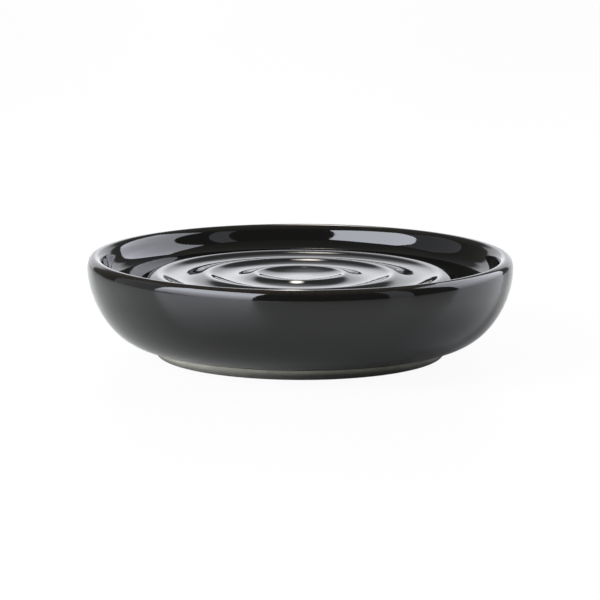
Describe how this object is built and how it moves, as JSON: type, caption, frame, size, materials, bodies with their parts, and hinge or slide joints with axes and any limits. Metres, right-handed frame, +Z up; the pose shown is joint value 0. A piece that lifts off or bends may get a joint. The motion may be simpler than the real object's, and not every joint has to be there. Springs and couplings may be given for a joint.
{
  "type": "soap dish",
  "caption": "Round shallow stoneware soap dish in black gloss glaze, with concentric drainage rings inside a drip gutter, a rounded rim and a bare foot ring.",
  "frame": {"origin": "centre of the foot ring, on the surface that the dish stands on", "axes": "+Z up along the axis of the dish; X and Y are any two level directions, because the dish is round"},
  "size_m": [0.12, 0.12, 0.028],
  "materials": {
    "bare_stoneware": "matte",
    "black_glaze": "polished"
  },
  "bodies": {
    "root": {"stoneware_body": "bare_stoneware", "glaze_coat": "black_glaze", "base_glaze": "black_glaze"}
  },
  "joints": []
}
